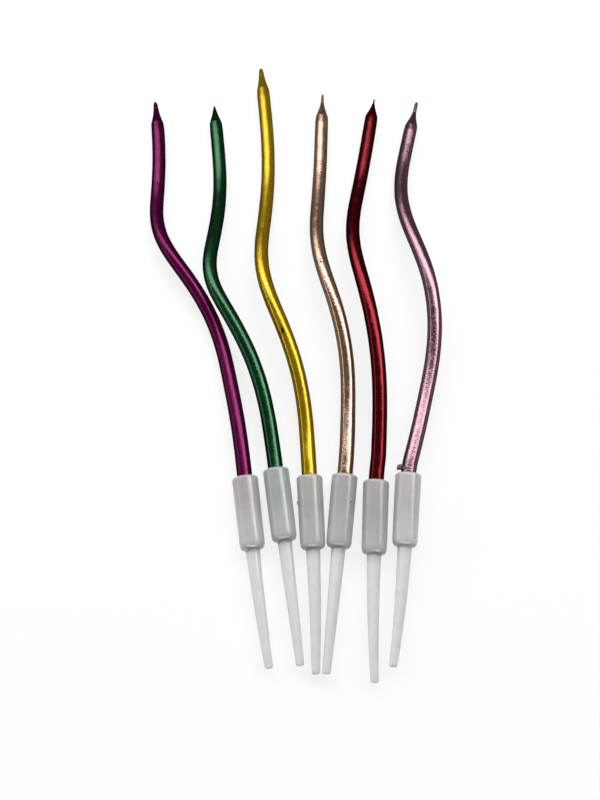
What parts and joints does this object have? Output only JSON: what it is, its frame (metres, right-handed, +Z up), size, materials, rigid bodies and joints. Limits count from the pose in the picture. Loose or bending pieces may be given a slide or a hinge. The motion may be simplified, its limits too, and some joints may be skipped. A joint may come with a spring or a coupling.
{
  "type": "wavy candle set",
  "caption": "Slim wavy party candles with a metallic lacquer, each in a white plastic cup with a cake spike; the candles pull out of their cups.",
  "frame": {"origin": "centre of the set's bounding box, on the table that the candles lie on", "axes": "+Y along the candles from the spikes to the wicks, +X to the right seen from above with the wicks pointing away, +Z up from the table"},
  "size_m": [0.0989, 0.2136, 0.0123],
  "materials": {
    "purple_lacquer": "metallic lacquer over wax",
    "green_lacquer": "metallic lacquer over wax",
    "gold_lacquer": "metallic lacquer over wax",
    "rose_lacquer": "metallic lacquer over wax",
    "red_lacquer": "metallic lacquer over wax",
    "pink_lacquer": "metallic lacquer over wax",
    "wick": "braided cotton, dipped in wax",
    "holder": "milky translucent polyethylene, gloss"
  },
  "bodies": {
    "holders": {"holder_purple": "holder", "holder_green": "holder", "holder_gold": "holder", "holder_rose": "holder", "holder_red": "holder", "holder_pink": "holder"},
    "candle_purple": {"wax_purple": "purple_lacquer", "wick_purple": "wick"},
    "candle_green": {"wax_green": "green_lacquer", "wick_green": "wick"},
    "candle_gold": {"wax_gold": "gold_lacquer", "wick_gold": "wick"},
    "candle_rose": {"wax_rose": "rose_lacquer", "wick_rose": "wick"},
    "candle_red": {"wax_red": "red_lacquer", "wick_red": "wick"},
    "candle_pink": {"wax_pink": "pink_lacquer", "wick_pink": "wick"}
  },
  "joints": [
    {"name": "purple_draw", "type": "slide", "parent": "holders", "child": "candle_purple", "axis": [-0.1305, 0.9914, 0], "range_m": [0, 0.012]},
    {"name": "green_draw", "type": "slide", "parent": "holders", "child": "candle_green", "axis": [-0.1305, 0.9914, 0], "range_m": [0, 0.014]},
    {"name": "gold_draw", "type": "slide", "parent": "holders", "child": "candle_gold", "axis": [-0.0436, 0.999, 0], "range_m": [0, 0.015]},
    {"name": "rose_draw", "type": "slide", "parent": "holders", "child": "candle_rose", "axis": [0.1045, 0.9945, 0], "range_m": [0, 0.014]},
    {"name": "red_draw", "type": "slide", "parent": "holders", "child": "candle_red", "axis": [0.061, 0.9981, 0], "range_m": [0, 0.016]},
    {"name": "pink_draw", "type": "slide", "parent": "holders", "child": "candle_pink", "axis": [0.0958, 0.9954, 0], "range_m": [0, 0.016]}
  ]
}
